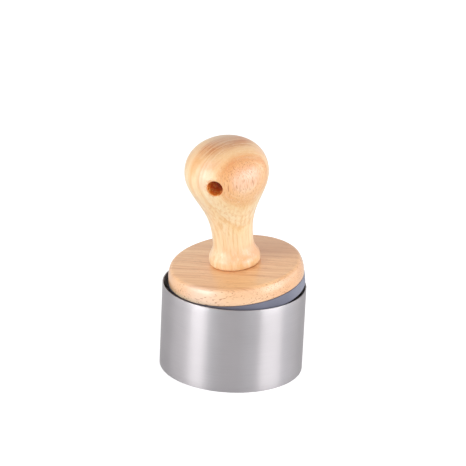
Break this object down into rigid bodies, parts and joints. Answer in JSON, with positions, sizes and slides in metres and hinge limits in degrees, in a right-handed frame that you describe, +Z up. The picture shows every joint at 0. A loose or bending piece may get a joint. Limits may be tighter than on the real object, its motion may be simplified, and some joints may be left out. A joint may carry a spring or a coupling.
{
  "type": "cookie stamp",
  "caption": "Round cookie stamp: a turned wooden knob handle on a wooden disc with a patterned silicone die, leaning in a thin steel cutter ring.",
  "frame": {"origin": "centre of the cutter ring's bottom edge, on the surface that the ring stands on", "axes": "+Z up along the ring's axis; -Y is the side that the hanging bore's visible mouth opens to; the stamp leans towards -X and -Y"},
  "size_m": [0.063, 0.063, 0.1059],
  "materials": {
    "ring_steel": "satin stainless steel, brushed round the ring",
    "handle_wood": "pale close-grained wood, satin lacquer",
    "disc_wood": "pale wood with fine straight grain, satin lacquer",
    "screw_steel": "zinc-plated steel",
    "silicone": "matt blue-grey silicone"
  },
  "bodies": {
    "cutter": {"cutter_ring": "ring_steel"},
    "stamp": {"handle": "handle_wood", "stamp_disc": "disc_wood", "handle_screw": "screw_steel", "silicone_die": "silicone"}
  },
  "joints": [
    {"name": "stamp_slide", "type": "slide", "parent": "cutter", "child": "stamp", "axis": [0, 0, 1], "range_m": [-0.0305, 0.04]}
  ]
}
